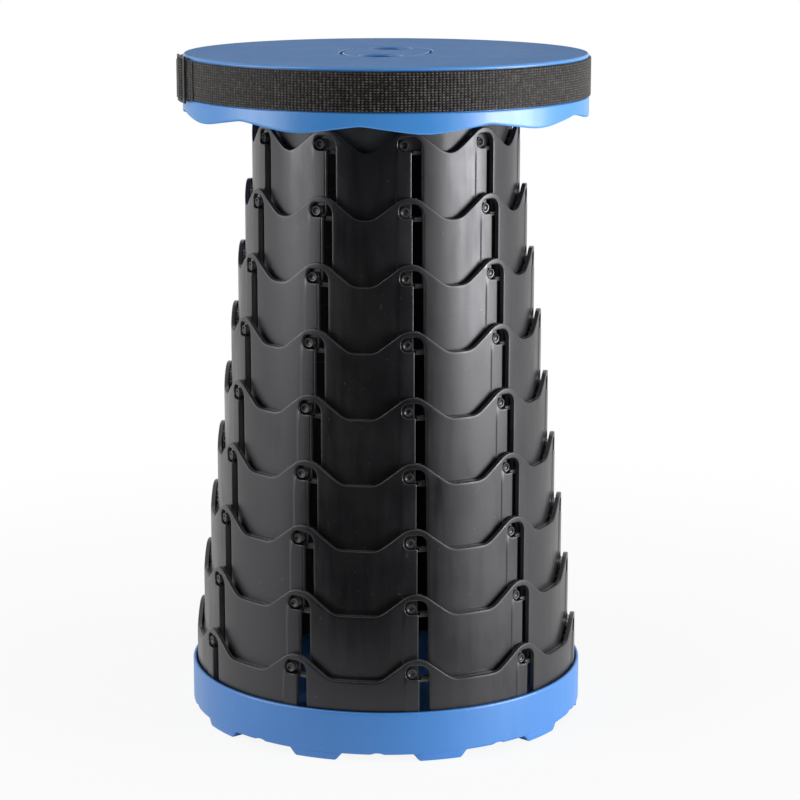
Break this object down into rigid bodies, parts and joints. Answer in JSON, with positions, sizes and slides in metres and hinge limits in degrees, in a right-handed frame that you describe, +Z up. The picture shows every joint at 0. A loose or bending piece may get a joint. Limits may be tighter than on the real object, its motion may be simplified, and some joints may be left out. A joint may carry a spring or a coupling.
{
  "type": "telescopic_stool",
  "caption": "Folding camping stool of nested wavy rings that twist to lock, between a round strapped seat and a round footed base.",
  "frame": {"origin": "on the floor under the centre of the base", "axes": "+Z up along the stool's axis, -Y towards the camera, +X to the right in the picture"},
  "size_m": [0.2514, 0.2502, 0.4132],
  "materials": {
    "seat_blue": "moulded, satin",
    "base_blue": "moulded, satin",
    "ring_black": "moulded, satin",
    "strap_webbing": "woven",
    "buckle_black": "moulded, glossy",
    "screw_steel": "plain"
  },
  "bodies": {
    "base": {"base_shell": "base_blue", "tier_9": "ring_black"},
    "tier_8": {"tier_8": "ring_black"},
    "tier_7": {"tier_7": "ring_black"},
    "tier_6": {"tier_6": "ring_black"},
    "tier_5": {"tier_5": "ring_black"},
    "tier_4": {"tier_4": "ring_black"},
    "tier_3": {"tier_3": "ring_black"},
    "tier_2": {"tier_2": "ring_black"},
    "tier_1": {"tier_1": "ring_black"},
    "seat": {"top_collar": "ring_black", "collar_screws": "screw_steel", "seat_shell": "seat_blue", "finger_plate": "seat_blue", "strap_band": "strap_webbing", "strap_buckle": "buckle_black"}
  },
  "joints": [
    {"name": "tier_8_slide", "type": "slide", "parent": "base", "child": "tier_8", "axis": [0, 0, 1], "range_m": [-0.03875, 0]},
    {"name": "tier_7_slide", "type": "slide", "parent": "tier_8", "child": "tier_7", "axis": [0, 0, 1], "range_m": [-0.03875, 0]},
    {"name": "tier_6_slide", "type": "slide", "parent": "tier_7", "child": "tier_6", "axis": [0, 0, 1], "range_m": [-0.03875, 0]},
    {"name": "tier_5_slide", "type": "slide", "parent": "tier_6", "child": "tier_5", "axis": [0, 0, 1], "range_m": [-0.03875, 0]},
    {"name": "tier_4_slide", "type": "slide", "parent": "tier_5", "child": "tier_4", "axis": [0, 0, 1], "range_m": [-0.03875, 0]},
    {"name": "tier_3_slide", "type": "slide", "parent": "tier_4", "child": "tier_3", "axis": [0, 0, 1], "range_m": [-0.03875, 0]},
    {"name": "tier_2_slide", "type": "slide", "parent": "tier_3", "child": "tier_2", "axis": [0, 0, 1], "range_m": [-0.03875, 0]},
    {"name": "tier_1_slide", "type": "slide", "parent": "tier_2", "child": "tier_1", "axis": [0, 0, 1], "range_m": [-0.03875, 0]},
    {"name": "seat_slide", "type": "slide", "parent": "tier_1", "child": "seat", "axis": [0, 0, 1], "range_m": [-0.0337, 0]}
  ]
}
